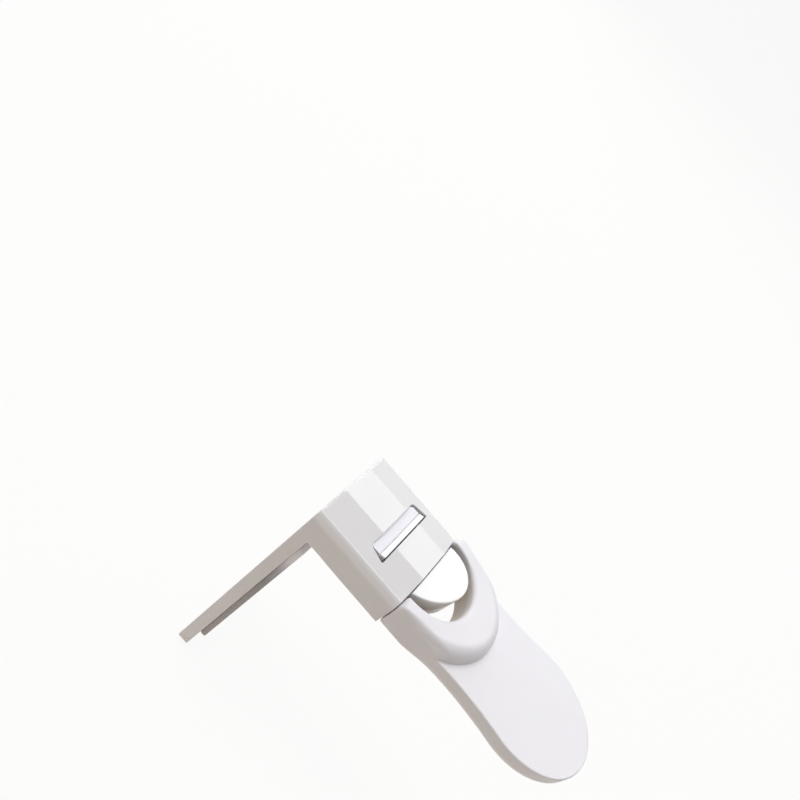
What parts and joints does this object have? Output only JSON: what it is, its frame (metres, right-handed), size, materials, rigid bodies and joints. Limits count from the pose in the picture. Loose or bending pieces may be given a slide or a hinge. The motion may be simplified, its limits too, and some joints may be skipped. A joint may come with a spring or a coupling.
{
  "type": "cabinet safety lock",
  "caption": "Right-angle stick-on child safety lock: corner housing with a hanging arm, and a round-ended paddle whose thumb tab releases a barbed tongue.",
  "frame": {"origin": "centre of the sticky face of the foam under the paddle, where it meets the cabinet's panel", "axes": "+X along the lock towards the paddle's round tip, +Y across the lock, +Z away from the cabinet's panel; the arm hangs towards -Z at the -X end"},
  "size_m": [0.0746, 0.0284, 0.0667],
  "materials": {
    "housing_plastic": "satin",
    "paddle_plastic": "fine matte grain",
    "lever_plastic": "gloss",
    "sticky_foam": "matte"
  },
  "bodies": {
    "paddle_body": {"paddle": "paddle_plastic", "paddle_foam_pad": "sticky_foam"},
    "lever_body": {"latch_lever": "lever_plastic"},
    "corner_body": {"corner_housing": "housing_plastic", "arm_foam_pad": "sticky_foam"}
  },
  "joints": [
    {"name": "tab_press", "type": "hinge", "parent": "paddle_body", "child": "lever_body", "pos_m": [-0.05349, 0, 0.0051], "axis": [0, 1, 0], "range_deg": [0, 8], "stiffness_Nm_per_rad": 0.1},
    {"name": "pull_off", "type": "slide", "parent": "paddle_body", "child": "corner_body", "axis": [-1, 0, 0], "range_m": [0, 0.025], "deforming": ["latch_lever"]}
  ]
}
